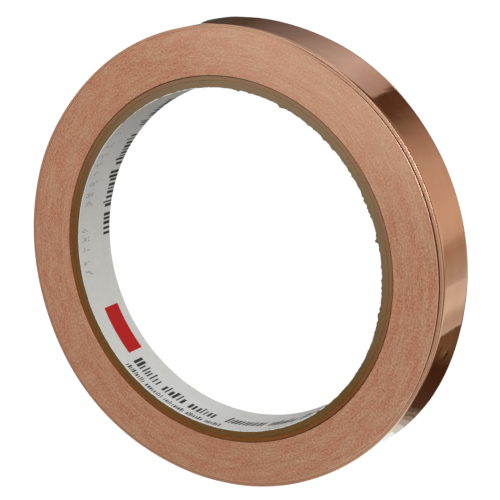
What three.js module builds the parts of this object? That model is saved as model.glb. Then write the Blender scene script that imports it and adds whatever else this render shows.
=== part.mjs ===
// Roll of copper foil tape on a paperboard core, standing on its rim.
// Millimetres. X to the right, Y along the roll's axis (front face at -Y), Z up.
// The origin is at the bottom centre of the roll.
//
// The tape is one strip, copper foil on release paper, wound clockwise inwards from its free tip
// near the top. Its tight turns are one solid. The last three turns have sprung away from them on
// the right, and are two spiral strips, the foil and the paper. At the free end both layers lift
// from the roll, and the foil peels from the paper.
import * as THREE from 'three';

// ---- Driving dimensions ----
const TAPE_WIDTH = 12.7;
const FOIL_THICKNESS = 0.07;      // copper with its adhesive
const LINER_THICKNESS = 0.1;      // release paper
const LAYER_GAP = 0.01;           // between the adhesive and the paper
const TURN_PITCH = 0.2;           // from one turn to the next, where they lie tight
const WOUND_RADIUS = 50.92;       // outer turn, where it lies tight
const TIGHT_BORE_RADIUS = 40.75;  // first turn of tape

const CORE_WIDTH = 12.5;
const CORE_BORE_RADIUS = 38.1;
const CORE_LINER_THICKNESS = 0.14;
const CORE_INNER_PLIES = 1.4;
const CORE_OUTER_PLIES = 0.92;
const PLY_GAP = 0.02;             // between layers that only touch

const START_TAPE_WIDTH = 12;
const START_TAPE_THICKNESS = 0.1;
const START_TAPE_FROM = 211.875;  // degrees around the roll
const START_TAPE_TO = 241.875;

const SEGMENTS = 96;              // flat facets around the roll, one of them exactly underneath
const LOOSE_TURNS = 3;
const TIP_ANGLE = 95.625;         // where the strip ends, counter-clockwise from +X
const TIP_SLANT = 5.3;            // how much further the cut end reaches at the back edge
const LIFT_ANGLE = 73.125;        // where the free end lifts from the roll
const PEEL_ANGLE = 80.625;        // where the foil peels from its release paper
const END_GAP = 0.3;              // between stretches of one strip that move apart

// Stretches where the winding stands out of round: centre and half width in degrees, height.
const SLACK = { at: 14, halfWidth: 96, height: 1.12, lessPerTurn: 0.05 };
const LOOSE_GAP = { at: 16, halfWidth: 62, height: 0.29 };  // between the tight turns and the loose
const SWELLS = [
  { at: 36, halfWidth: 26, height: 0.14 },
  { at: 96, halfWidth: 48, height: 0.6 },
  { at: 158, halfWidth: 14, height: 0.13 },
  { at: 226, halfWidth: 34, height: 0.52 },
];
const TIP_LIFT = { halfWidth: 5, height: 0.15 };

// ---- Materials ----
function finish(color, roughness, metalness) {
  return new THREE.MeshStandardMaterial({ color, roughness, metalness });
}

const woundCopper = finish(0xb87f61, 0.5, 0.8);
const polishedCopper = finish(0xc98d6b, 0.18, 1);
const releasePaper = finish(0xd9d2c2, 0.85, 0);
const printedPaper = finish(0xbbbdb6, 0.7, 0);
const greyBoard = finish(0x6f6038, 0.95, 0);
const brownBoard = finish(0x6b421f, 0.95, 0);
const spliceTape = finish(0xcfc3a4, 0.6, 0);

// ---- Outline of the winding ----
const STEP = 360 / SEGMENTS;
const FIRST_STATION = STEP / 2;
const DEGREES = Math.PI / 180;
const TIGHT_FROM = LOOSE_TURNS * 360;

// A smooth swell: 1 at its centre, 0 at its half width and beyond.
function swell(angle, centre, halfWidth) {
  const apart = Math.abs(((angle - centre + 540) % 360) - 180);
  return apart < halfWidth ? Math.cos((Math.PI / 2) * (apart / halfWidth)) ** 2 : 0;
}

// Outer radius of the strip, by how far (in degrees) it is wound inwards from its tip.
function stripRadius(wound) {
  const angle = (((TIP_ANGLE - wound) % 360) + 360) % 360;
  const turns = wound / 360;
  const slackHeight = SLACK.height - SLACK.lessPerTurn * Math.min(turns, LOOSE_TURNS);
  let radius = WOUND_RADIUS - TURN_PITCH * turns;
  radius += slackHeight * swell(angle, SLACK.at, SLACK.halfWidth);
  if (wound >= TIGHT_FROM) {
    radius -= LOOSE_GAP.height * swell(angle, LOOSE_GAP.at, LOOSE_GAP.halfWidth);
  }
  for (const { at, halfWidth, height } of SWELLS) {
    radius += height * swell(angle, at, halfWidth);
  }
  if (wound < TIP_LIFT.halfWidth) {
    radius += TIP_LIFT.height * swell(wound, 0, TIP_LIFT.halfWidth);
  }
  return radius;
}

function polar(radius, angle) {
  return new THREE.Vector2(radius * Math.cos(angle * DEGREES), radius * Math.sin(angle * DEGREES));
}

// A point of the strip at a depth under its outer face. Between two stations it is on their chord,
// so that neighbouring turns have parallel facets.
function stripPoint(wound, depth) {
  const before = Math.floor(wound / STEP + 1e-6) * STEP;
  const share = (wound - before) / STEP;
  const start = polar(stripRadius(before) - depth, TIP_ANGLE - before);
  if (share < 1e-6) {
    return start;
  }
  const end = polar(stripRadius(before + STEP) - depth, TIP_ANGLE - before - STEP);
  return start.lerp(end, share);
}

// Winding angles of the stations from one place on the strip to another, both included.
function stations(from, to) {
  const list = [from];
  for (let wound = (Math.floor(from / STEP + 1e-6) + 1) * STEP; wound < to - 1e-6; wound += STEP) {
    list.push(wound);
  }
  list.push(to);
  return list;
}

// ---- Solids ----
// A flat outline, pushed through along the roll's axis and centred on its width.
function acrossRoll(name, shape, width, material) {
  const geometry = new THREE.ExtrudeGeometry(shape, { depth: width, bevelEnabled: false });
  const mesh = new THREE.Mesh(geometry, material);
  mesh.name = name;
  mesh.rotation.x = Math.PI / 2;
  mesh.position.y = width / 2;
  return mesh;
}

function circlePoints(radius, from = FIRST_STATION, to = FIRST_STATION + 360 - STEP) {
  const points = [];
  for (let angle = from; angle < to + STEP / 2; angle += STEP) {
    points.push(polar(radius, angle));
  }
  return points;
}

function ring(name, innerRadius, outerRadius, width, material) {
  const shape = new THREE.Shape(circlePoints(outerRadius));
  shape.holes.push(new THREE.Path(circlePoints(innerRadius)));
  return acrossRoll(name, shape, width, material);
}

// A stretch of one layer of the strip, between two winding angles.
function stretch(name, from, to, [topDepth, bottomDepth], material) {
  const wound = stations(from, to);
  const outer = wound.map((angle) => stripPoint(angle, topDepth));
  const inner = wound.map((angle) => stripPoint(angle, bottomDepth));
  const shape = new THREE.Shape([...outer, ...inner.toReversed()]);
  const mesh = acrossRoll(name, shape, TAPE_WIDTH, material);
  if (from === 0) {
    slantTip(mesh.geometry, [outer[0], inner[0]], outer[0].clone().sub(outer[1]).normalize());
  }
  return mesh;
}

// Draws the corners at the cut end along the strip, by more towards its back edge.
function slantTip(geometry, corners, along) {
  const position = geometry.getAttribute('position');
  for (let index = 0; index < position.count; index += 1) {
    const point = new THREE.Vector2(position.getX(index), position.getY(index));
    if (corners.some((corner) => corner.distanceTo(point) < 1e-3)) {
      point.addScaledVector(along, TIP_SLANT * (1 - position.getZ(index) / TAPE_WIDTH));
      position.setXY(index, point.x, point.y);
    }
  }
}

// ---- Core: three layers of paper and board ----
function coreRings() {
  const linerOut = CORE_BORE_RADIUS + CORE_LINER_THICKNESS;
  const innerFrom = linerOut + PLY_GAP;
  const innerOut = innerFrom + CORE_INNER_PLIES;
  const outerFrom = innerOut + PLY_GAP;
  const outerOut = outerFrom + CORE_OUTER_PLIES;
  return [
    ring('core_liner', CORE_BORE_RADIUS, linerOut, CORE_WIDTH, printedPaper),
    ring('core_inner_plies', innerFrom, innerOut, CORE_WIDTH, greyBoard),
    ring('core_outer_plies', outerFrom, outerOut, CORE_WIDTH, brownBoard),
    startTape(outerOut + PLY_GAP),
  ];
}

// Short strip that fixes the first turn of tape to the core.
function startTape(innerRadius) {
  const outer = circlePoints(innerRadius + START_TAPE_THICKNESS, START_TAPE_FROM, START_TAPE_TO);
  const inner = circlePoints(innerRadius, START_TAPE_FROM, START_TAPE_TO);
  const shape = new THREE.Shape([...outer, ...inner.reverse()]);
  return acrossRoll('start_tape', shape, START_TAPE_WIDTH, spliceTape);
}

// ---- Tight turns: round bore, and an outline that steps by one turn under the loose strip ----
function tightTurns() {
  const outline = stations(TIGHT_FROM, TIGHT_FROM + 360).map((wound) => stripPoint(wound, 0));
  const shape = new THREE.Shape(outline);
  shape.holes.push(new THREE.Path(circlePoints(TIGHT_BORE_RADIUS)));
  return acrossRoll('tight_turns', shape, TAPE_WIDTH, woundCopper);
}

// ---- Loose strip and its free end ----
function looseStrip() {
  const gap = END_GAP / WOUND_RADIUS / DEGREES;
  const lift = TIP_ANGLE - LIFT_ANGLE;
  const peel = TIP_ANGLE - PEEL_ANGLE;
  const foil = [0, FOIL_THICKNESS];
  const liner = [FOIL_THICKNESS + LAYER_GAP, FOIL_THICKNESS + LAYER_GAP + LINER_THICKNESS];
  return [
    stretch('foil_turns', lift, TIGHT_FROM - gap, foil, polishedCopper),
    stretch('liner_turns', lift, TIGHT_FROM - gap, liner, releasePaper),
    stretch('liner_end', 0, lift - gap, liner, releasePaper),
    stretch('foil_bend', peel, lift - gap, foil, polishedCopper),
    stretch('foil_end', 0, peel - gap, foil, polishedCopper),
  ];
}

// ---- The roll, moved so that its bottom centre is the origin ----
const roll = new THREE.Group();
roll.add(...coreRings(), tightTurns(), ...looseStrip());
roll.updateMatrixWorld(true);

const bounds = new THREE.Box3().setFromObject(roll);
roll.position.set(-(bounds.min.x + bounds.max.x) / 2, 0, -bounds.min.z);
roll.updateMatrixWorld(true);

export default roll;
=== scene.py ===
import math
import random

import bpy
import numpy as np
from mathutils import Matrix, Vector


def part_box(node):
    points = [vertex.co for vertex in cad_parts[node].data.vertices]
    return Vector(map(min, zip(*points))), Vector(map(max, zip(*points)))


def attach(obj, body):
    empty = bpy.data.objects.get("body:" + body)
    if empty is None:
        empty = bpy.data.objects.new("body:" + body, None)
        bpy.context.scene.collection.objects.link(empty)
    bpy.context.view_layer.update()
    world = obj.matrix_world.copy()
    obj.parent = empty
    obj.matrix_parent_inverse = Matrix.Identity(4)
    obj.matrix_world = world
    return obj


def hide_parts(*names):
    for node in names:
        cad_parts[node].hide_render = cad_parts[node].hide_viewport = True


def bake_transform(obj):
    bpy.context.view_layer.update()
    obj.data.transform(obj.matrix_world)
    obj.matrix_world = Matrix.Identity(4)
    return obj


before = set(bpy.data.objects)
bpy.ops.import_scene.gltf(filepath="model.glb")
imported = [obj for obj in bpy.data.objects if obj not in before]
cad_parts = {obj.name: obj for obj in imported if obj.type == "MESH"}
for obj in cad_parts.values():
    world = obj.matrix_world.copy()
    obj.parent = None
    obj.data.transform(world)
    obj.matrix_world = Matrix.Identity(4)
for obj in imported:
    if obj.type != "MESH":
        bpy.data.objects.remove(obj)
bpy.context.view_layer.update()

# The roll's looks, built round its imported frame. Lengths are in millimetres and are turned into
# metres where a mesh is made, but the camera, the lights, the floor and the backdrop are given in
# metres. Angles are in degrees, counter-clockwise from +X as seen from the front (from -Y).

MM = 0.001
LINER_LOW, LINER_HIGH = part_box("core_liner")
CENTRE = (LINER_LOW + LINER_HIGH) / 2

# ---- Driving values, the same as the CAD model's ----
TAPE_WIDTH = 12.7
FOIL_THICKNESS = 0.07
LINER_THICKNESS = 0.1
LAYER_GAP = 0.01
TURN_PITCH = 0.2
WOUND_RADIUS = 50.92
TIGHT_BORE_RADIUS = 40.75
LOOSE_TURNS = 3
TIP_ANGLE = 95.625
TIP_SLANT = 5.3
LIFT_ANGLE = 73.125
PEEL_ANGLE = 80.625
SLACK_AT, SLACK_HALF, SLACK_HEIGHT = 14.0, 96.0, 1.12
SLACK_LESS_PER_TURN = 0.05
LOOSE_GAP_AT, LOOSE_GAP_HALF, LOOSE_GAP_HEIGHT = 16.0, 62.0, 0.29
SWELLS = ((36.0, 26.0, 0.14), (96.0, 48.0, 0.6), (158.0, 14.0, 0.13), (226.0, 34.0, 0.52))
TIP_LIFT_HALF, TIP_LIFT_HEIGHT = 5.0, 0.15
CORE_WIDTH = 12.5
CORE_BORE = 38.1
CORE_LINER_OUT = 38.24
CORE_INNER_OUT = 39.66
CORE_OUTER_OUT = 40.6
PLY_GAP = 0.02
START_TAPE_RADII = (40.72, 40.62)
START_TAPE_FROM, START_TAPE_TO = 211.875, 241.875
START_TAPE_WIDTH = 12.0

# Near the free end the outer turn also stands off the next one by a hair; from this far on the
# strip is under that gap.
UNDER_GAP_AT, UNDER_GAP_HALF, UNDER_GAP_HEIGHT = 63.0, 18.0, 0.17
UNDER_GAP_FROM = 300.0

# Places along the strip, in degrees wound inwards from its tip.
LIFT = TIP_ANGLE - LIFT_ANGLE
PEEL = TIP_ANGLE - PEEL_ANGLE
TIGHT_FROM = LOOSE_TURNS * 360.0
END_GAP = math.degrees(0.3 / WOUND_RADIUS)   # between the loose strip and the tight turns
LIFT_BLEND = 2.2                             # half the stretch round the lifting line
PEEL_BLEND = 3.0                             # the stretch round the peeling line
ROOT = LIFT + 4.0                            # where the free end's pieces start, past the lifting line
FOIL_DEPTHS = (0.0, FOIL_THICKNESS)
LINER_DEPTHS = (FOIL_THICKNESS + LAYER_GAP, FOIL_THICKNESS + LAYER_GAP + LINER_THICKNESS)


# ---- Outline of the winding ----
def swell(angle, centre, half_width):
    """1 at the centre, 0 at the half width and beyond, smooth between."""
    apart = np.abs((np.asarray(angle) - centre + 540.0) % 360.0 - 180.0)
    return np.cos(0.5 * math.pi * np.minimum(apart / half_width, 1.0)) ** 2


def strip_radius(wound):
    """Outer radius of the strip, by how far in degrees it is wound inwards from its tip."""
    wound = np.asarray(wound, float)
    angle = TIP_ANGLE - wound
    turns = wound / 360.0
    slack = SLACK_HEIGHT - SLACK_LESS_PER_TURN * np.minimum(turns, LOOSE_TURNS)
    radius = WOUND_RADIUS - TURN_PITCH * turns + slack * swell(angle, SLACK_AT, SLACK_HALF)
    gap = LOOSE_GAP_HEIGHT * swell(angle, LOOSE_GAP_AT, LOOSE_GAP_HALF)
    radius = radius - np.where(wound >= TIGHT_FROM - 1e-6, gap, 0.0)
    for at, half_width, height in SWELLS:
        radius = radius + height * swell(angle, at, half_width)
    under = UNDER_GAP_HEIGHT * swell(angle, UNDER_GAP_AT, UNDER_GAP_HALF)
    radius = radius - np.where(wound > UNDER_GAP_FROM, under, 0.0)
    lift = np.cos(0.5 * math.pi * np.clip(wound / TIP_LIFT_HALF, 0.0, 1.0)) ** 2
    return radius + TIP_LIFT_HEIGHT * lift


# Creases that handling leaves in soft foil: angle, slant across the width in degrees, height and
# half length in millimetres.
CREASES = (
    (-33.0, 3.0, 0.035, 2.6),
    (-10.2, 0.2, 0.05, 1.6),
    (0.9, -0.6, 0.02, 1.0),
    (9.8, 0.4, -0.015, 1.6),
    (48.0, -0.8, 0.03, 2.4),
    (66.0, 2.0, 0.010, 3.2),
    (150.0, 2.5, 0.02, 3.0),
    (196.0, -2.0, 0.016, 2.6),
    (243.0, 1.5, 0.022, 3.4),
    (288.0, -2.5, 0.018, 3.0),
)
# Small dents: angle, place across the width, height and radius in millimetres.
DENTS = (
    (-16.4, 0.6, 0.09, 0.75),
    (-14.6, -2.4, -0.03, 0.9),
    (-14.8, 3.6, 0.02, 1.1),
    (-34.0, 2.0, 0.04, 0.7),
    (58.0, -2.0, 0.012, 1.8),
    (71.0, 1.0, 0.012, 1.6),
    (178.0, 0.8, 0.03, 0.9),
    (221.0, -3.0, -0.03, 1.1),
    (262.0, 2.6, 0.03, 0.8),
)
# Where the outer turn's back edge stands off the roll: angle, half width, height.
FLARES = ((-33.0, 28.0, 0.58), (58.0, 26.0, 0.46), (90.0, 24.0, 0.28))
CROWN, CROWN_EDGE = 0.16, 0.8   # how much the outer turn bulges, all but near its edges
CROWN_FADE, CROWN_LOSS = 24.0, 0.7   # over how many degrees the bulge sinks to the tip, and by what share
# Faint waves along the outer turn: height and length in millimetres, lean across it, phase.
WAVES = ((0.0025, 3.1, 0.11, 0.0), (0.0012, 1.7, -0.23, 1.3), (0.006, 7.3, 0.05, 0.6))
MEAN_STANDOFF = 0.008
SETTLE_OVER = 40.0                   # degrees in which all this dies out at the end of the outer turn


def foil_ripple(wound, across):
    """How far the outer turn's surface stands off its smooth outline, in millimetres."""
    angle = TIP_ANGLE - wound
    arc = np.radians(angle) * WOUND_RADIUS
    wave = MEAN_STANDOFF
    for height, length, lean, phase in WAVES:
        wave = wave + height * np.sin(arc / length + across * lean + phase)
    for at, slant, height, half_length in CREASES:
        line = at + slant * across / TAPE_WIDTH
        apart = np.radians((angle - line + 540.0) % 360.0 - 180.0) * WOUND_RADIUS
        wave = wave + height * np.exp(-np.abs(apart) / half_length)
    for at, place, height, radius in DENTS:
        apart = np.radians((angle - at + 540.0) % 360.0 - 180.0) * WOUND_RADIUS
        wave = wave + height * np.exp(-(apart ** 2 + (across - place) ** 2) / radius ** 2)
    back = (across / TAPE_WIDTH + 0.5) ** 1.5
    for at, half_width, height in FLARES:
        wave = wave + height * back * swell(angle, at, half_width)
    edge = np.clip((np.abs(across) - TAPE_WIDTH / 2 + CROWN_EDGE) / CROWN_EDGE, 0.0, 1.0)
    flat = 1.0 - CROWN_LOSS * swell(angle, TIP_ANGLE, CROWN_FADE)
    wave = wave + CROWN * flat * (1.0 - edge ** 2)
    chatter = 0.0022 * np.sin(arc / 0.55 + 0.35 * across) * np.sin(arc / 5.1 + 0.4)
    wave = wave + chatter
    return wave * np.clip((360.0 - wound) / SETTLE_OVER, 0.0, 1.0)


def to_world(radius, angle, across):
    """Points in metres from cylindrical ones; the roll stands on z = 0, so nothing goes below it."""
    a = np.radians(angle)
    x = CENTRE.x + radius * np.cos(a) * MM
    y = CENTRE.y + across * MM + np.zeros_like(x)
    z = np.maximum(CENTRE.z + radius * np.sin(a) * MM, 0.0)
    return np.stack([x, y, z], axis=-1)


# ---- Mesh helpers ----
def piece_from(name, verts, faces, uvs, material, sharp=None):
    """A smooth-shaded mesh, with hard edges where faces meet at more than the sharp angle."""
    mesh = bpy.data.meshes.new(name)
    mesh.from_pydata(verts.tolist(), [], faces)
    layer = mesh.uv_layers.new(name="surface")
    layer.data.foreach_set("uv", np.asarray(uvs, np.float32).ravel())
    mesh.validate()
    mesh.polygons.foreach_set("use_smooth", np.ones(len(mesh.polygons), bool))
    if sharp is not None:
        mesh.set_sharp_from_angle(angle=math.radians(sharp))
    mesh.materials.append(material)
    obj = bpy.data.objects.new(name, mesh)
    bpy.context.scene.collection.objects.link(obj)
    return obj


def grid_piece(name, points, uv, wrap_u, wrap_v, material, cap_ends=False, sharp=35.0):
    """A mesh over a grid of points. uv has one more row or column than the points where it wraps.

    Capped ends close a strip whose second half of points runs back under the first.
    """
    nu, nv = points.shape[:2]
    steps_u = np.arange(nu if wrap_u else nu - 1)
    steps_v = np.arange(nv if wrap_v else nv - 1)
    i, j = np.meshgrid(steps_u, steps_v, indexing="ij")
    corners = [(i, j), (i + 1, j), (i + 1, j + 1), (i, j + 1)]
    faces = np.stack([(a % nu) * nv + (b % nv) for a, b in corners], axis=-1).reshape(-1, 4)
    uvs = np.stack([uv[a, b] for a, b in corners], axis=-2).reshape(-1, 2)
    if cap_ends:
        half = nv // 2
        k = np.arange(half - 1)
        first = np.stack([k, k + 1, nv - 2 - k, nv - 1 - k], axis=-1)
        last = (nu - 1) * nv + first[:, ::-1]
        faces = np.concatenate([faces, first, last])
        uvs = np.concatenate([uvs, uv.reshape(-1, 2)[: 1].repeat(8 * len(k), axis=0)])
    return piece_from(name, points.reshape(-1, 3), faces.tolist(), uvs, material, sharp)


# ---- Materials ----
class Nodes:
    """Short names for building the node tree of a new material, or the tree given."""

    def __init__(self, name, tree=None):
        self.tree = tree
        if tree is None:
            self.material = bpy.data.materials.new(name)
            self.material.use_nodes = True
            self.tree = self.material.node_tree
            self.shader = self.tree.nodes["Principled BSDF"]

    def add(self, kind, **settings):
        """A new node with its settings."""
        node = self.tree.nodes.new(kind)
        for key, value in settings.items():
            setattr(node, key, value)
        return node

    def link(self, source, target):
        """Joins an output to an input."""
        self.tree.links.new(source, target)

    def scaled_uv(self, u, v):
        """The surface's own coordinates, in metres along and across it, times a scale each way."""
        uv = self.add("ShaderNodeUVMap", uv_map="surface")
        scale = self.add("ShaderNodeMapping")
        scale.inputs["Scale"].default_value = (u, v, 1.0)
        self.link(uv.outputs["UV"], scale.inputs["Vector"])
        return scale.outputs["Vector"]

    def towards(self, angle, low, high):
        """0 to 1 over a distance in metres from the roll's axis, in one direction round it."""
        place = self.add("ShaderNodeTexCoord")
        away = self.add("ShaderNodeVectorMath", operation="SUBTRACT")
        away.inputs[1].default_value = CENTRE
        self.link(place.outputs["Object"], away.inputs[0])
        along = self.add("ShaderNodeVectorMath", operation="DOT_PRODUCT")
        turned = math.radians(angle)
        along.inputs[1].default_value = (math.cos(turned), 0.0, math.sin(turned))
        self.link(away.outputs["Vector"], along.inputs[0])
        return self.stretch(along.outputs["Value"], low, high)

    def noise(self, vector, detail=2.0, roughness=0.5):
        """Noise from 0 to 1 over a vector whose scale is already set."""
        node = self.add("ShaderNodeTexNoise")
        node.inputs["Scale"].default_value = 1.0
        node.inputs["Detail"].default_value = detail
        node.inputs["Roughness"].default_value = roughness
        self.link(vector, node.inputs["Vector"])
        return node.outputs["Fac"]

    def ramp(self, value, stops):
        """Colours by a value from 0 to 1."""
        node = self.add("ShaderNodeValToRGB")
        elements = node.color_ramp.elements
        while len(elements) < len(stops):
            elements.new(0.5)
        for element, (position, color) in zip(elements, stops):
            element.position = position
            element.color = (*color, 1.0)
        self.link(value, node.inputs["Fac"])
        return node.outputs["Color"]

    def mix(self, factor, a, b, blend="MIX"):
        """Two colours mixed; each value is a number, a colour or a node's output."""
        node = self.add("ShaderNodeMix", data_type="RGBA", blend_type=blend)
        if isinstance(factor, float):
            node.inputs["Factor"].default_value = factor
        else:
            self.link(factor, node.inputs["Factor"])
        for socket, value in ((node.inputs[6], a), (node.inputs[7], b)):
            if isinstance(value, tuple):
                socket.default_value = (*value, 1.0)
            else:
                self.link(value, socket)
        return node.outputs[2]

    def span(self, value, low, high):
        """A value from 0..1 stretched over low..high."""
        node = self.add("ShaderNodeMapRange")
        node.inputs["To Min"].default_value = low
        node.inputs["To Max"].default_value = high
        self.link(value, node.inputs["Value"])
        return node.outputs["Result"]

    def stretch(self, value, low, high, to_low=0.0, to_high=1.0):
        """A value over low..high brought to 0..1, or to the two values given."""
        node = self.add("ShaderNodeMapRange")
        node.inputs["From Min"].default_value = low
        node.inputs["From Max"].default_value = high
        node.inputs["To Min"].default_value = to_low
        node.inputs["To Max"].default_value = to_high
        self.link(value, node.inputs["Value"])
        return node.outputs["Result"]

    def bump(self, height, strength, distance_mm, after=None):
        """Relief of a depth in millimetres, on top of another one where it is given."""
        node = self.add("ShaderNodeBump")
        node.inputs["Strength"].default_value = strength
        node.inputs["Distance"].default_value = distance_mm * MM
        self.link(height, node.inputs["Height"])
        if after is not None:
            self.link(after, node.inputs["Normal"])
        return node.outputs["Normal"]

    def finish(self, color, roughness, normal=None, metallic=0.0):
        """Connects the surface. The roughness is a number or a node's output."""
        self.shader.inputs["Metallic"].default_value = metallic
        self.link(color, self.shader.inputs["Base Color"])
        if isinstance(roughness, float):
            self.shader.inputs["Roughness"].default_value = roughness
        else:
            self.link(roughness, self.shader.inputs["Roughness"])
        if normal is not None:
            self.link(normal, self.shader.inputs["Normal"])
        return self.material


def polished_foil():
    """Rolled copper foil: a mirror with fine lines along the strip and faint cloudy patches."""
    n = Nodes("polished_foil")
    lines = n.noise(n.scaled_uv(60.0, 9000.0), detail=3.0, roughness=0.6)
    clouds = n.noise(n.scaled_uv(120.0, 200.0), detail=4.0)
    color = n.ramp(clouds, ((0.3, (0.78, 0.43, 0.27)), (0.7, (0.85, 0.49, 0.31))))
    roughness = n.span(clouds, 0.05, 0.12)
    chatter = n.noise(n.scaled_uv(1500.0, 120.0), detail=3.0, roughness=0.6)
    fine = n.bump(lines, 0.25, 0.0015)
    soft = n.bump(clouds, 0.6, 0.05, after=fine)
    across = n.bump(chatter, 0.5, 0.012, after=soft)
    return n.finish(color, roughness, across, metallic=1.0)


def worn_corner():
    """The rounded corner of a turn of foil, rubbed to a softer shine than its face."""
    n = Nodes("worn_corner")
    rub = n.noise(n.scaled_uv(200.0, 400.0), detail=2.0)
    color = n.ramp(rub, ((0.3, (0.80, 0.45, 0.29)), (0.7, (0.86, 0.52, 0.35))))
    return n.finish(color, 0.30, metallic=1.0)


def shaded_gap_foil():
    """The foil deep in the loose gap: dull, rough copper painted dark brown for the shade that falls
    there.
    """
    n = Nodes("shaded_gap_foil")
    mottle = n.noise(n.scaled_uv(300.0, 500.0), detail=3.0)
    color = n.ramp(mottle, ((0.3, (0.26, 0.06, 0.014)), (0.7, (0.40, 0.11, 0.03))))
    return n.finish(color, 0.6)


def slit_copper():
    """The side of the winding: satin, each turn's cut edge a little lighter or darker, with a painted
    sheen that pales it towards the upper right.
    """
    n = Nodes("slit_copper")
    turns = n.noise(n.scaled_uv(12.0, 2600.0), detail=3.0, roughness=0.8)
    streaks = n.noise(n.scaled_uv(330.0, 2900.0), detail=3.0, roughness=0.7)
    grains = n.noise(n.scaled_uv(1700.0, 2300.0), detail=3.0, roughness=0.8)
    wide = n.noise(n.scaled_uv(130.0, 420.0), detail=3.0, roughness=0.65)
    tone = n.ramp(turns, ((0.34, (0.35, 0.14, 0.07)), (0.66, (0.67, 0.355, 0.22))))
    streaked = n.ramp(streaks, ((0.34, (0.30, 0.12, 0.06)), (0.66, (0.70, 0.375, 0.235))))
    tone = n.mix(0.42, tone, streaked)
    grained = n.ramp(grains, ((0.39, (0.17, 0.055, 0.02)), (0.61, (0.86, 0.50, 0.33))))
    tone = n.mix(0.48, tone, grained)
    patchy = n.ramp(wide, ((0.40, (0.47, 0.165, 0.085)), (0.60, (0.53, 0.315, 0.19))))
    tone = n.mix(0.38, tone, patchy)
    # Painted sheen: the side is mixed towards a pale peach towards the upper right, standing in for the
    # brighter light that falls there.
    paler_up_right = n.towards(62.0, 0.030, 0.046)
    tone = n.mix(n.span(paler_up_right, 0.0, 0.36), tone, (0.78, 0.51, 0.37))
    roughness = n.span(grains, 0.45, 0.65)
    bumps = n.bump(grains, 0.6, 0.04, after=n.bump(turns, 0.6, 0.04))
    return n.finish(tone, roughness, bumps, metallic=0.8)


def board(name, dark, light, depth):
    """Cut edge and surface of paperboard, with layers along it and short fibres."""
    n = Nodes(name)
    layers = n.noise(n.scaled_uv(120.0, 5000.0), detail=3.0, roughness=0.7)
    fibres = n.noise(n.scaled_uv(1400.0, 2600.0), detail=4.0, roughness=0.7)
    blotch = n.noise(n.scaled_uv(160.0, 260.0), detail=2.0)
    stops = ((0.3, dark), (0.7, light))
    tone = n.mix(0.5, n.ramp(layers, stops), n.ramp(fibres, stops))
    tone = n.mix(n.span(blotch, 0.0, 0.35), tone, dark)
    # Paler and greyer towards the upper right.
    paler_up_right = n.towards(68.0, -0.01, 0.04)
    tone = n.mix(n.span(paler_up_right, 0.0, 0.22), tone, (0.55, 0.46, 0.32))
    bumps = n.bump(fibres, 0.9, depth, after=n.bump(layers, 0.6, depth))
    n.shader.inputs["Specular IOR Level"].default_value = 0.1
    return n.finish(tone, 0.95, bumps)


def printed_paper():
    """Greyish white paper with a faint cloudy formation."""
    n = Nodes("printed_paper")
    fibres = n.noise(n.scaled_uv(900.0, 900.0), detail=4.0, roughness=0.65)
    clouds = n.noise(n.scaled_uv(110.0, 170.0), detail=2.0)
    cloudy = n.ramp(clouds, ((0.3, (0.65, 0.665, 0.645)), (0.7, (0.73, 0.74, 0.715))))
    flecked = n.ramp(fibres, ((0.3, (0.63, 0.645, 0.625)), (0.7, (0.75, 0.76, 0.735))))
    return n.finish(n.mix(0.4, cloudy, flecked), 0.62, n.bump(fibres, 0.25, 0.02))


def release_paper():
    """Smooth brownish release paper."""
    n = Nodes("release_paper")
    fibres = n.noise(n.scaled_uv(700.0, 1100.0), detail=4.0, roughness=0.65)
    tone = n.ramp(fibres, ((0.3, (0.40, 0.23, 0.145)), (0.7, (0.50, 0.30, 0.20))))
    return n.finish(tone, n.span(fibres, 0.45, 0.6), n.bump(fibres, 0.2, 0.01))


def crepe_tape():
    """Cream crepe paper tape."""
    n = Nodes("crepe_tape")
    wrinkles = n.noise(n.scaled_uv(1500.0, 260.0), detail=4.0, roughness=0.6)
    tone = n.ramp(wrinkles, ((0.3, (0.56, 0.47, 0.31)), (0.7, (0.68, 0.59, 0.42))))
    return n.finish(tone, 0.7, n.bump(wrinkles, 0.6, 0.03))


def ink(name, color):
    """Printing ink that has worn a little pale in places."""
    n = Nodes(name)
    wear = n.noise(n.scaled_uv(2600.0, 2600.0), detail=3.0, roughness=0.7)
    pale = tuple(0.93 * c + 0.07 * 0.5 for c in color)
    n.shader.inputs["Specular IOR Level"].default_value = 0.2
    return n.finish(n.ramp(wear, ((0.45, color), (0.8, pale))), n.span(wear, 0.5, 0.7))


# ---- Tape: tight turns ----
SCUFFED_FROM, SCUFFED_TO = 49.0, 112.0
SCUFFED_ROWS = 7                         # how many rows of a strip's front corner that takes in


def is_scuffed(angle):
    """Whether handling has dulled the turns' corners at this place round the roll."""
    return SCUFFED_FROM < angle % 360.0 < SCUFFED_TO


TIGHT_SEGMENTS = 288
TIGHT_TURNS = 50
WIDER_GAP = 0.07   # how much lower the tight turns lie under the loose gap than the CAD model's
# The outermost tight turn's edge, rounded over: in from the outline, in from the side.
ROUNDED_EDGE = ((0.20, 0.03), (0.14, 0.035), (0.08, 0.05), (0.04, 0.08), (0.012, 0.13), (0.0, 0.2))


def mark_tight_turns(piece, angle, columns, corner):
    """Gives the outermost tight turn's face dark foil with painted shade, for the loose gap above it, and
    its rounded corners their own materials.
    """
    middle = columns // 2 - 1
    for polygon in piece.data.polygons:
        station, column = divmod(polygon.index, columns)
        if column == middle:
            polygon.material_index = 1
        elif corner <= column <= columns - corner - 2 and not is_scuffed(angle[station]):
            polygon.material_index = 2


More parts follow.
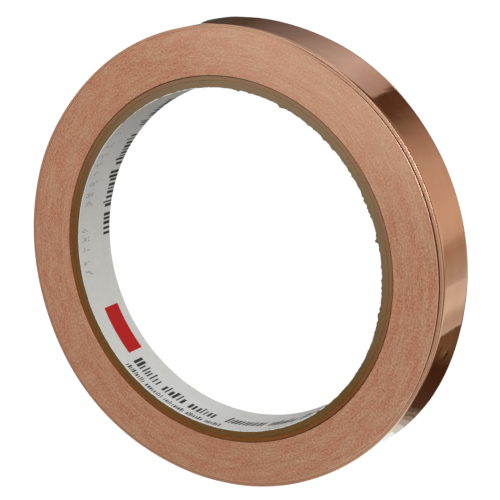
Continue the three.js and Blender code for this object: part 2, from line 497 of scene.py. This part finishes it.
def tight_turns(side_material, shaded_gap_material, corner_material):
    """The tight winding, each turn's edge a ridge that stands slightly in or out."""
    rng = random.Random(11)
    count = 2 * TIGHT_TURNS + 1
    share = np.linspace(0.0, 1.0, count)
    ridge = np.array([0.0 if k % 2 else 0.03 for k in range(count)])
    stand = np.repeat([0.02 * rng.random() for _ in range(TIGHT_TURNS + 1)], 2)[:count]
    depth = ridge + stand
    depth[0] = 0.06
    wound = TIGHT_FROM + np.arange(TIGHT_SEGMENTS) * 360.0 / TIGHT_SEGMENTS
    wider_gap = WIDER_GAP * swell(TIP_ANGLE - wound, LOOSE_GAP_AT, LOOSE_GAP_HALF)
    outline = (strip_radius(wound) - wider_gap)[:, None]
    flat = TIGHT_BORE_RADIUS + (outline - ROUNDED_EDGE[0][0] - TIGHT_BORE_RADIUS) * share[:-1]
    rounded = outline - np.array([inward for inward, _ in ROUNDED_EDGE])
    radius = np.concatenate([flat, rounded], axis=1)
    half = TAPE_WIDTH / 2
    front = -half + np.concatenate([depth[:-1], [inset for _, inset in ROUNDED_EDGE]])
    radius = np.concatenate([radius, radius[:, ::-1]], axis=1)
    across = np.concatenate([front, -front[::-1]])
    angle = TIP_ANGLE - wound
    points = to_world(radius, angle[:, None], np.broadcast_to(across, radius.shape))
    along = np.radians(np.append(wound, TIGHT_FROM + 360.0)) * WOUND_RADIUS * MM
    run = np.concatenate([[0.0], np.cumsum(np.hypot(np.diff(radius[0]), np.diff(across)))])
    down = np.append(run, run[-1] + TAPE_WIDTH) * MM
    uv = np.stack(np.broadcast_arrays(along[:, None], down[None, :]), axis=-1)
    piece = grid_piece("Tight_turns", points, uv, True, True, side_material, sharp=75.0)
    # The outermost tight turn's face gets foil painted dark for the shade in the loose gap.
    piece.data.materials.append(shaded_gap_material)
    piece.data.materials.append(corner_material)
    mark_tight_turns(piece, angle, len(across), len(share) - 1)
    return piece


# ---- Tape: stretches of foil and release paper ----
# Rows of points from the edge to the middle, close together where the edge is rounded.
EDGE_ROWS = (0.0, 0.003, 0.01, 0.022, 0.04, 0.065, 0.1, 0.16, 0.25, 0.36, 0.5, 0.7,
             1.1, 1.6, 2.2, 2.8, 3.4, 4.0, 4.6, 5.2, 5.8, 6.35)
EDGE_ROUND = 0.1   # radius of the slit edges


def width_rows():
    """Places across the tape, from its front edge to its back one."""
    front = [-TAPE_WIDTH / 2 + inset for inset in EDGE_ROWS]
    return np.array(front + [-row for row in front[-2::-1]])


def strip_points(start, end, depths, step):
    """Winding angles, places across and points of one layer of the strip, round its section."""
    rows = width_rows()
    top, bottom = depths
    count = max(int(round((end - start) / step)), 4) + 1
    across = np.concatenate([rows, rows[::-1]])
    edge = np.clip((np.abs(across) - TAPE_WIDTH / 2 + EDGE_ROUND) / EDGE_ROUND, 0.0, 1.0)
    depth = np.concatenate([np.full(len(rows), top), np.full(len(rows), bottom)])
    share = np.linspace(0.0, 1.0, count)[:, None]
    slant = 0.0
    if start == 0.0:
        slant = math.degrees(TIP_SLANT / WOUND_RADIUS) * (across / TAPE_WIDTH + 0.5)
    wound = (start - slant) * (1.0 - share) + end * share + np.zeros((1, len(across)))
    worn = np.clip(1.4 - wound / 360.0, 0.4, 1.0)   # less so on the turns further in
    rounding = EDGE_ROUND * (1.0 - np.sqrt(1.0 - edge ** 2)) * worn
    radius = strip_radius(wound) - depth - rounding + foil_ripple(wound, across[None, :])
    return wound, across, to_world(radius, TIP_ANGLE - wound, np.broadcast_to(across, wound.shape))


def mark_strip(piece, wound, columns, has_corners):
    """Gives a strip's cut edges and its rounded or scuffed corners their own materials."""
    for polygon in piece.data.polygons:
        station, column = divmod(polygon.index, columns)
        angle = TIP_ANGLE - wound[min(station, len(wound) - 1), 0]
        at_corner = column < SCUFFED_ROWS
        if at_corner and is_scuffed(angle) or column in (columns // 2 - 1, columns - 1):
            polygon.material_index = 1
        elif at_corner and has_corners:
            polygon.material_index = 2


def strip_piece(name, start, end, depths, materials, step=0.5):
    """One layer of the strip between two winding angles, its slit edges rounded over.

    The materials are its face's, its cut edge's and, on foil, its rounded corner's.
    """
    wound, across, points = strip_points(start, end, depths, step)
    along = np.radians(wound) * WOUND_RADIUS * MM
    along = np.concatenate([along, along[:, :1]], axis=1)
    side = np.append(across, across[0] - TAPE_WIDTH * 2) * MM
    uv = np.stack([along, np.broadcast_to(side, along.shape)], axis=-1)
    piece = grid_piece(name, points, uv, False, True, materials[0], cap_ends=True)
    for material in materials[1:]:
        piece.data.materials.append(material)
    mark_strip(piece, wound, len(across), has_corners=len(materials) > 2)
    return piece


# ---- Core ----
CORE_SEGMENTS = 900
FRAYED_AT, FRAYED_HALF = 25.0, 110.0   # where round the core the knife tore the board most
CUT_RELIEF = 0.03                      # roughness of the cut sides, in millimetres
INNER_FRAY = 0.46                      # height of the torn edge of the inner plies, in millimetres
# Half a ring's outline, from the middle of its bore round the cut side to the outside: share of
# the wall's thickness, and distance in from the cut side.
CORE_BORE_INSETS = (4.0, 2.0, 1.0, 0.5, 0.22, 0.08)
CORE_CUT_SHARES = (0.10, 0.25, 0.42, 0.58, 0.75, 0.90)


def frayed(seed, count, spikes, height, spread):
    """Torn paper: mostly flat, with sharp peaks, in millimetres."""
    rng = np.random.default_rng(seed)
    out = np.zeros(count)
    for _ in range(spikes):
        at = rng.integers(0, count)
        tall = height * rng.uniform(0.25, 1.0) ** 2
        wide = spread * rng.uniform(0.5, 1.6)
        k = (np.arange(count) - at + count // 2) % count - count // 2
        out = np.maximum(out, tall * np.clip(1.0 - np.abs(k) / wide, 0.0, 1.0))
    return out


def ring_outline(half):
    """A ring's section: share of the wall's thickness and place across, all the way round it."""
    side = [(0.0, inset) for inset in CORE_BORE_INSETS] + [(0.03, 0.02)]
    side += [(at, 0.0) for at in CORE_CUT_SHARES]
    side += [(0.97, 0.02), (1.0, 0.08), (1.0, 3.0)]
    outline = [(at, -half + inset) for at, inset in side]
    outline += [(at, half - inset) for at, inset in reversed(side)]
    return np.array(outline).T


def torn_bore(angle, seed, fray):
    """How far the torn bore edge stands into the bore, by angle."""
    torn = frayed(seed, len(angle), spikes=260, height=fray, spread=2.6)
    torn += frayed(seed + 1, len(angle), spikes=34, height=1.6 * fray, spread=4.0)
    return torn * (0.12 + 0.88 * swell(angle, FRAYED_AT, FRAYED_HALF) ** 0.5)


def core_ring(name, inner, outer, material, seed, fray=0.0):
    """A ring of board: flat cut sides with soft corners, its bore edge frayed at the cuts."""
    rng = np.random.default_rng(seed)
    half = CORE_WIDTH / 2
    wall = outer - inner
    share, across = ring_outline(half)
    angle = np.arange(CORE_SEGMENTS) * 360.0 / CORE_SEGMENTS
    radius = np.repeat((inner + wall * share)[None, :], CORE_SEGMENTS, axis=0)
    depth = np.repeat(across[None, :], CORE_SEGMENTS, axis=0)
    near_cut = np.clip(1.0 - (half - np.abs(across)) / 0.5, 0.0, 1.0)
    near_cut *= np.clip(1.0 - share / 0.12, 0.0, 1.0)
    near_cut *= np.where(across < 0.0, 1.0, 0.2)
    radius -= torn_bore(angle, seed, fray)[:, None] * near_cut[None, :]
    rough = rng.normal(0.0, CUT_RELIEF, radius.shape)
    rough = (rough + np.roll(rough, 1, axis=0)) * 0.5
    on_cut = np.abs(across) > half - 0.03
    depth -= np.sign(depth) * np.abs(rough) * on_cut[None, :]
    points = to_world(radius, angle[:, None], depth)
    along = np.radians(np.append(angle, 360.0)) * inner * MM
    run = np.concatenate([[0.0], np.cumsum(np.hypot(np.diff(share) * wall, np.diff(across)))])
    down = np.append(run, run[-1] + 1.0) * MM
    uv = np.stack(np.broadcast_arrays(along[:, None], down[None, :]), axis=-1)
    return grid_piece(name, points, uv, True, True, material, sharp=70.0)


def liner_ring(material):
    """Printed paper in the bore, cut a little short of the board and uneven at both edges."""
    half = CORE_WIDTH / 2
    angle = np.arange(CORE_SEGMENTS) * 360.0 / CORE_SEGMENTS
    front = 0.06 + frayed(5, CORE_SEGMENTS, spikes=90, height=0.09, spread=4.0)
    back = 0.04 + frayed(6, CORE_SEGMENTS, spikes=90, height=0.07, spread=4.0)
    rows = np.array([0.0, 0.05, 0.3, 0.7, 0.95, 1.0])
    low = -half + front[:, None]
    high = half - back[:, None]
    inside = low + (high - low) * rows[None, :]
    across = np.concatenate([inside, inside[:, ::-1]], axis=1)
    radius = np.concatenate([np.full(len(rows), CORE_BORE), np.full(len(rows), CORE_LINER_OUT)])
    radius = np.repeat(radius[None, :], CORE_SEGMENTS, axis=0)
    points = to_world(radius, angle[:, None], across)
    along = np.radians(np.append(angle, 360.0)) * CORE_BORE * MM
    side = np.concatenate([across, across[:, :1]], axis=1)
    side = np.concatenate([side, side[:1]], axis=0) * MM
    uv = np.stack([np.broadcast_to(along[:, None], side.shape), side], axis=-1)
    return grid_piece("Core_liner", points, uv, True, True, material, sharp=50.0)


def start_tape(material):
    """The short tape under the first turn that holds it to the core."""
    count = 61
    angle = np.linspace(START_TAPE_FROM, START_TAPE_TO, count)
    half = START_TAPE_WIDTH / 2
    across = np.array([-half, 0.0, half, half, 0.0, -half])
    radius = np.repeat(np.repeat(START_TAPE_RADII, 3)[None, :], count, axis=0)
    points = to_world(radius, angle[:, None], np.broadcast_to(across, radius.shape))
    along = np.radians(angle)[:, None] * START_TAPE_RADII[0] * MM
    side = np.append(across, across[0]) * MM
    uv = np.stack(np.broadcast_arrays(along, side[None, :]), axis=-1)
    return grid_piece("Start_tape", points, uv, False, True, material, cap_ends=True)


FIBRE_COUNT = 420
FIBRE_STATIONS = 5   # triangles of points along one fibre


def fibre_points(rng):
    """One fibre, a curved needle with a triangular section, from its root to its tip."""
    angle = rng.triangular(FRAYED_AT - 180.0, FRAYED_AT + 180.0, FRAYED_AT)
    side = rng.choice((-1.0, -1.0, -1.0, -1.0, 1.0))   # mostly at the front edge
    length = rng.uniform(0.25, 0.9)
    lean = rng.uniform(-1.0, 1.0)
    thick = rng.uniform(0.018, 0.04)
    base = rng.uniform(CORE_BORE + 0.02, CORE_BORE + 1.0)
    a = math.radians(angle)
    tangent = np.array([-math.sin(a), 0.0, math.cos(a)])
    axis = np.array([0.0, 1.0, 0.0])
    points = []
    for k in range(FIBRE_STATIONS):
        t = k / (FIBRE_STATIONS - 1)
        radius = base - length * t * (1.0 - 0.25 * t * lean)
        swing = angle + math.degrees(length * lean * t * t / CORE_BORE)
        across = side * (CORE_WIDTH / 2 + 0.01 - 0.22 * t)
        point = to_world(radius, swing, across)
        size = thick * (1.0 - 0.85 * t) * MM
        points += [point + size * tangent, point + size * axis, point - size * tangent]
    return points


def fibre_faces(first):
    """The faces of one fibre whose points start at this number."""
    faces = []
    for k in range(FIBRE_STATIONS - 1):
        for c in range(3):
            near = first + 3 * k + c
            beside = first + 3 * k + (c + 1) % 3
            faces.append([near, beside, beside + 3, near + 3])
    last = first + 3 * (FIBRE_STATIONS - 1)
    return faces + [[first, first + 2, first + 1], [last, last + 1, last + 2]]


def fibres(material):
    """Loose paper fibres that stand into the bore from the core's front and back edges."""
    rng = random.Random(23)
    verts, faces = [], []
    for _ in range(FIBRE_COUNT):
        faces += fibre_faces(len(verts))
        verts += fibre_points(rng)
    uvs = np.zeros((sum(len(f) for f in faces), 2))
    return piece_from("Paper_fibres", np.array(verts), faces, uvs, material)


# ---- Print on the core's paper: plain marks, no lettering ----
PRINT_RADIUS = CORE_BORE - 0.012


class Marks:
    """Collects flat patches of ink on the bore. Across is measured in from the front edge."""

    def __init__(self):
        self.verts = []
        self.faces = []
        self.uvs = []

    def patch(self, angle_from, angle_to, low, high, lean=0.0):
        """One patch, its far side shifted round the bore by the lean in degrees."""
        steps = int(abs(angle_to - angle_from)) + 1
        first = len(self.verts)
        for k in range(steps + 1):
            angle = angle_from + (angle_to - angle_from) * k / steps
            for across, shift in ((low, 0.0), (high, lean)):
                place = across - CORE_WIDTH / 2
                self.verts.append(to_world(PRINT_RADIUS, angle + shift, place))
        for k in range(steps):
            a = first + 2 * k
            self.faces.append([a, a + 1, a + 3, a + 2])
            for v in self.faces[-1]:
                x, y, z = self.verts[v]
                angle = math.atan2(z - CENTRE.z, x - CENTRE.x)
                self.uvs.append((angle * CORE_BORE * MM, y))

    def words(self, rng, angle_from, angle_to, low, high, stroke, lean=0.0, flip=False):
        """A line of greeked words: plain upright strokes, thick and thin, in groups."""
        angle = angle_from
        body = (high - low) * 0.74
        while angle < angle_to:
            end = min(angle + stroke * rng.uniform(9.0, 17.0), angle_to)
            while angle < end:
                reach = (high - low) if rng.random() < 0.25 else body
                foot = high - reach if flip else low
                thick = stroke * rng.choice((0.55, 0.9, 1.1))
                self.patch(angle, angle + thick, foot, foot + reach, lean)
                angle += thick + stroke * rng.choice((0.5, 0.6, 0.9))
            angle += stroke * 1.8

    def dots(self, rng, angle_from, angle_to, low, high):
        """A line of dot groups, as a date stamp is printed, with no shape repeated."""
        angle = angle_from
        while angle < angle_to:
            for column in range(3):
                for row in range(5):
                    if rng.random() < 0.42:
                        at = angle + column * 0.55
                        y = low + (high - low) * row / 5
                        self.patch(at, at + 0.33, y, y + 0.34)
            angle += rng.choice((3.4, 4.2, 5.0))

    def build(self, name, material):
        return piece_from(name, np.array(self.verts), self.faces, self.uvs, material)


def print_marks(black, grey, red):
    """Two lines of greeked words, a row of stamped dots and a plain block, in three inks."""
    rng = random.Random(7)
    bold = Marks()
    bold.words(rng, 226.5, 263.0, 3.7, 7.1, 1.0)
    bold.words(rng, 267.0, 300.0, 3.7, 7.1, 0.9, lean=0.8)
    bold.words(rng, 120.0, 136.0, 9.0, 12.3, 1.0, flip=True)
    bold.words(rng, 141.0, 181.0, 9.0, 12.3, 1.0, flip=True)
    bold.words(rng, 330.0, 366.0, 3.7, 7.1, 1.0)
    small = Marks()
    small.words(rng, 226.5, 268.0, 0.7, 2.3, 0.55)
    small.words(rng, 330.0, 362.0, 0.7, 2.3, 0.55)
    faint = Marks()
    faint.dots(rng, 138.0, 170.0, 1.5, 4.3)
    faint.dots(rng, 176.0, 194.0, 1.5, 4.3)
    block = Marks()
    block.patch(205.3, 223.2, 4.4, 9.7)
    return [
        bold.build("Print_bold", black),
        small.build("Print_small", black),
        faint.build("Print_stamp", grey),
        block.build("Print_block", red),
    ]


# ---- Camera, lights and surroundings ----
CAMERA_OFFSET = Vector((0.1798, -0.3018, 0.0911))  # from the middle of the roll's front side
CAMERA_AZIMUTH = 29.8
CAMERA_DOWN = 14.1
CAMERA_LENS = 120.46


def make_camera():
    """A long lens from the right and a little above, looking slightly down."""
    data = bpy.data.cameras.new("Camera")
    data.lens = CAMERA_LENS
    data.sensor_width = 36.0
    data.clip_start = 0.01
    camera = bpy.data.objects.new("Camera", data)
    bpy.context.scene.collection.objects.link(camera)
    front = Vector((CENTRE.x, -TAPE_WIDTH / 2 * MM, CENTRE.z))
    camera.location = front + CAMERA_OFFSET
    camera.rotation_euler = (math.radians(90.0 - CAMERA_DOWN), 0.0, math.radians(CAMERA_AZIMUTH))
    bpy.context.scene.camera = camera


def glow_material(name, color, strength):
    """A surface that only gives off light."""
    material = bpy.data.materials.new(name)
    material.use_nodes = True
    tree = material.node_tree
    tree.nodes.remove(tree.nodes["Principled BSDF"])
    glow = tree.nodes.new("ShaderNodeEmission")
    glow.inputs["Color"].default_value = (*color, 1.0)
    glow.inputs["Strength"].default_value = strength
    tree.links.new(glow.outputs["Emission"], tree.nodes["Material Output"].inputs["Surface"])
    return material


def card(name, corners, color):
    """A studio card that only shiny surfaces see."""
    mesh = bpy.data.meshes.new(name)
    verts = [tuple(c * MM for c in corner) for corner in corners]
    mesh.from_pydata(verts, [], [tuple(range(len(corners)))])
    mesh.materials.append(glow_material(name, color, 1.0))
    obj = bpy.data.objects.new(name, mesh)
    bpy.context.scene.collection.objects.link(obj)
    obj.visible_camera = False
    obj.visible_diffuse = False
    obj.visible_shadow = False
    obj.visible_transmission = False
    obj.visible_volume_scatter = False
    return obj


def area_light(name, location, target, size, energy):
    """A square soft light, places and size in metres and power in watts."""
    data = bpy.data.lights.new(name, "AREA")
    data.shape = "SQUARE"
    data.size = size
    data.energy = energy
    light = bpy.data.objects.new(name, data)
    bpy.context.scene.collection.objects.link(light)
    light.location = location
    light.rotation_euler = (Vector(target) - Vector(location)).to_track_quat("-Z", "Y").to_euler()
    return light


FLOOR_DROP = 0.00005   # how far in metres the floor lies under the roll, so that they don't flicker


def make_floor():
    """A plain pale floor that the camera sees; the roll gets its light from the surround."""
    size = 3.0
    corners = [(-size, -size, 0), (size, -size, 0), (size, size, 0), (-size, size, 0)]
    mesh = bpy.data.meshes.new("Floor")
    mesh.from_pydata(corners, [], [(0, 1, 2, 3)])
    n = Nodes("floor")
    n.shader.inputs["Base Color"].default_value = (0.2, 0.2, 0.2, 1.0)
    n.shader.inputs["Roughness"].default_value = 0.9
    n.shader.inputs["Emission Color"].default_value = (1.0, 1.0, 1.0, 1.0)
    n.shader.inputs["Emission Strength"].default_value = 0.93
    mesh.materials.append(n.material)
    floor = bpy.data.objects.new("Floor", mesh)
    floor.location.z = -FLOOR_DROP
    floor.visible_glossy = False
    floor.visible_diffuse = False
    bpy.context.scene.collection.objects.link(floor)


# The room behind the roll, which its outer turn mirrors: the colour of the light by direction
# round the roll's axis, in degrees from +X, below and above the horizon.
BELOW = (
    (-180.0, (0.16, 0.16, 0.14)),
    (-146.0, (0.30, 0.30, 0.26)),
    (-138.0, (1.00, 1.00, 1.00)),
    (-128.0, (1.00, 1.00, 1.00)),
    (-121.0, (0.40, 0.36, 0.30)),
    (-113.0, (0.10, 0.05, 0.03)),
    (-75.0, (0.05, 0.02, 0.01)),
    (-66.0, (0.18, 0.11, 0.06)),
    (-59.0, (0.12, 0.06, 0.02)),
    (-58.0, (0.66, 0.61, 0.55)),
    (-52.0, (0.46, 0.41, 0.34)),
    (-46.0, (0.77, 0.75, 0.70)),
    (-37.0, (0.67, 0.65, 0.62)),
    (-35.0, (0.77, 0.76, 0.75)),
    (-31.0, (0.50, 0.46, 0.42)),
    (-14.0, (0.42, 0.32, 0.23)),
    (-9.0, (0.62, 0.54, 0.45)),
    (0.0, (0.68, 0.58, 0.49)),
)
ABOVE = (
    (0.0, (0.68, 0.58, 0.49)),
    (17.0, (0.65, 0.54, 0.47)),
    (32.0, (0.57, 0.47, 0.40)),
    (47.0, (0.40, 0.30, 0.25)),
    (64.0, (0.12, 0.07, 0.04)),
    (76.0, (0.08, 0.04, 0.02)),
    (77.0, (0.44, 0.37, 0.35)),
    (96.0, (0.62, 0.60, 0.64)),
    (104.0, (0.50, 0.49, 0.48)),
    (127.0, (0.28, 0.23, 0.22)),
    (157.0, (0.09, 0.06, 0.04)),
    (180.0, (0.06, 0.05, 0.04)),
)
# Blends by the direction's share towards the back, -1 to 1: the front, the side band, the surround.
FRONT_TONE = (0.66, 0.66, 0.66)
SIDE_TONE = (0.09, 0.08, 0.07)
FRONT_TO_SIDE = (-0.40, -0.16)
SIDE_TO_BACK = (0.50, 0.70)
GAIN_FROM, GAIN_TO = (0.80, 0.90), (1.15, 0.97)


def make_world():
    """The light from all round, as three zones of direction that blend into each other."""
    world = bpy.data.worlds.new("World")
    bpy.context.scene.world = world
    world.use_nodes = True
    n = Nodes("surround", world.node_tree)
    place = n.add("ShaderNodeTexCoord")
    split = n.add("ShaderNodeSeparateXYZ")
    n.link(place.outputs["Generated"], split.inputs["Vector"])
    turn = n.add("ShaderNodeMath", operation="ARCTAN2")
    n.link(split.outputs["Z"], turn.inputs[0])
    n.link(split.outputs["X"], turn.inputs[1])
    halves = []
    for low, high, stops in ((-180.0, 0.0, BELOW), (0.0, 180.0, ABOVE)):
        share = n.stretch(turn.outputs["Value"], math.radians(low), math.radians(high))
        halves.append(n.ramp(share, [((angle - low) / 180.0, color) for angle, color in stops]))
    above = n.add("ShaderNodeMath", operation="GREATER_THAN")
    above.inputs[1].default_value = 0.0
    n.link(split.outputs["Z"], above.inputs[0])
    behind = n.mix(above.outputs["Value"], halves[0], halves[1])
    gain = n.stretch(split.outputs["Y"], *GAIN_FROM, *GAIN_TO)
    behind = n.mix(1.0, behind, gain, blend="MULTIPLY")
    near = n.stretch(split.outputs["Y"], *FRONT_TO_SIDE)
    far = n.stretch(split.outputs["Y"], *SIDE_TO_BACK)
    zones = n.mix(far, n.mix(near, FRONT_TONE, SIDE_TONE), behind)
    n.link(zones, world.node_tree.nodes["Background"].inputs["Color"])


def make_backdrop():
    """A pale surround that only the camera sees."""
    bpy.ops.mesh.primitive_uv_sphere_add(segments=48, ring_count=24, radius=2.9, location=(0, 0, 0))
    dome = bpy.context.object
    dome.name = "Backdrop"
    dome.data.materials.append(glow_material("backdrop", (1.0, 1.0, 1.0), 0.98))
    dome.visible_diffuse = False
    dome.visible_glossy = False
    dome.visible_shadow = False
    dome.visible_transmission = False


# Bright strips of floor behind and beside the roll, which its lower right mirrors. Each reaches
# from one distance to another in front of a slanted line, given in millimetres by its X and Y at
# both ends.
GLOW_RIGHT, GLOW_RIGHT_EDGE = 60.0, 17.0
GLOW_LEFT, GLOW_LEFT_EDGE = 10.0, 65.0
GLOW_ABOVE_FLOOR = 0.5
FLOOR_GLOW = (
    (0.0, 2.6, (0.13, 0.10, 0.07)),
    (2.6, 4.8, (0.23, 0.18, 0.13)),
    (4.8, 5.8, (0.15, 0.11, 0.07)),
    (5.8, 8.5, (0.30, 0.27, 0.21)),
    (8.5, 12.0, (0.44, 0.44, 0.38)),
    (12.0, 17.0, (0.64, 0.71, 0.68)),
    (17.0, 23.0, (0.86, 1.05, 1.1)),
    (23.0, 62.0, (1.08, 1.45, 1.7)),
)


def make_stage():
    """Floor, surround and soft lights, all the roll's surroundings."""
    make_floor()
    make_world()
    make_backdrop()
    area_light("Key", (-0.35, -0.75, 0.75), (0, 0, 0.05), 1.1, 2.8)
    area_light("Right", (0.75, -0.55, 0.5), (0, 0, 0.05), 0.4, 4.6)
    area_light("Top", (0.1, 0.1, 0.9), (0, 0, 0.05), 0.7, 1.6)
    area_light("Low_front", (-0.2, -0.45, 0.06), (0.02, 0, 0.09), 0.14, 0.12)
    for number, (near, far, color) in enumerate(FLOOR_GLOW):
        corners = [(GLOW_RIGHT, GLOW_RIGHT_EDGE - far, GLOW_ABOVE_FLOOR),
                   (GLOW_RIGHT, GLOW_RIGHT_EDGE - near, GLOW_ABOVE_FLOOR),
                   (GLOW_LEFT, GLOW_LEFT_EDGE - near, GLOW_ABOVE_FLOOR),
                   (GLOW_LEFT, GLOW_LEFT_EDGE - far, GLOW_ABOVE_FLOOR)]
        card("Floor_glow_%d" % number, corners, color)
    bpy.context.scene.view_settings.view_transform = "Standard"


# ---- Build ----
def put(piece, body, slot, *nodes):
    """Ties a piece to the body it moves with and hides the CAD nodes it stands for. The slot is not used.
    """
    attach(piece, body)
    if nodes:
        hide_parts(*nodes)


def put_end(piece, slot, node, bodies, start, end):
    """Hides the CAD node a piece of the free end stands for and bakes its placing into its mesh. The
    slot, bodies, start and end are not used.
    """
    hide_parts(node)
    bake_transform(piece)


def build_loose_turns(foil, edge, corner, paper):
    """Foil and release paper, from the tight turns up to the free end."""
    loose_end = TIGHT_FROM - END_GAP
    foil_turns = strip_piece("Foil_turns", ROOT, loose_end, FOIL_DEPTHS, (foil, edge, corner))
    put(foil_turns, "roll", "copper_foil", "foil_turns")
    liner_turns = strip_piece("Liner_turns", ROOT, loose_end, LINER_DEPTHS, (paper, edge))
    put(liner_turns, "roll", "release_paper", "liner_turns")


def build_core():
    """Paper, inner and outer plies, start tape, loose fibres and print."""
    grey = board("grey_board", (0.085, 0.040, 0.011), (0.20, 0.105, 0.033), 0.05)
    brown = board("brown_board", (0.115, 0.036, 0.008), (0.25, 0.092, 0.024), 0.05)
    put(start_tape(crepe_tape()), "roll", "splice_tape", "start_tape")
    inner = core_ring("Core_inner_plies", CORE_LINER_OUT + PLY_GAP, CORE_INNER_OUT, grey,
                      seed=31, fray=INNER_FRAY)
    put(inner, "roll", "grey_board", "core_inner_plies")
    outer = core_ring("Core_outer_plies", CORE_INNER_OUT + PLY_GAP, CORE_OUTER_OUT, brown, seed=41)
    put(outer, "roll", "brown_board", "core_outer_plies")
    put(liner_ring(printed_paper()), "roll", "printed_paper", "core_liner")
    put(fibres(grey), "roll", "grey_board")
    black = ink("black_ink", (0.03, 0.032, 0.03))
    stamp = ink("grey_ink", (0.17, 0.19, 0.18))
    red = ink("red_ink", (0.50, 0.008, 0.008))
    for mark in print_marks(black, stamp, red):
        put(mark, "roll", "printed_paper")


def build_free_end(foil, edge, corner, paper):
    """The foil in two pieces, parted where it peels, over one of release paper."""
    lift_bend = (LIFT + LIFT_BLEND, LIFT - LIFT_BLEND)
    peel_bend = (PEEL, PEEL - PEEL_BLEND)
    foils = (foil, edge, corner)
    foil_bend = strip_piece("Foil_bend", PEEL, ROOT, FOIL_DEPTHS, foils, step=0.25)
    put_end(foil_bend, "copper_foil", "foil_bend", ("roll", "tape_end"), *lift_bend)
    foil_end = strip_piece("Foil_end", 0.0, PEEL, FOIL_DEPTHS, foils, step=0.25)
    put_end(foil_end, "copper_foil", "foil_end", ("tape_end", "peeled_foil"), *peel_bend)
    liner_end = strip_piece("Liner_end", 0.0, ROOT, LINER_DEPTHS, (paper, edge), step=0.25)
    put_end(liner_end, "release_paper", "liner_end", ("roll", "tape_end"), *lift_bend)


cut_copper = slit_copper()
rubbed_copper = worn_corner()
strip_materials = (polished_foil(), cut_copper, rubbed_copper, release_paper())
make_camera()
put(tight_turns(cut_copper, shaded_gap_foil(), rubbed_copper), "roll", "wound_edge", "tight_turns")
build_core()
build_loose_turns(*strip_materials)
build_free_end(*strip_materials)
make_stage()
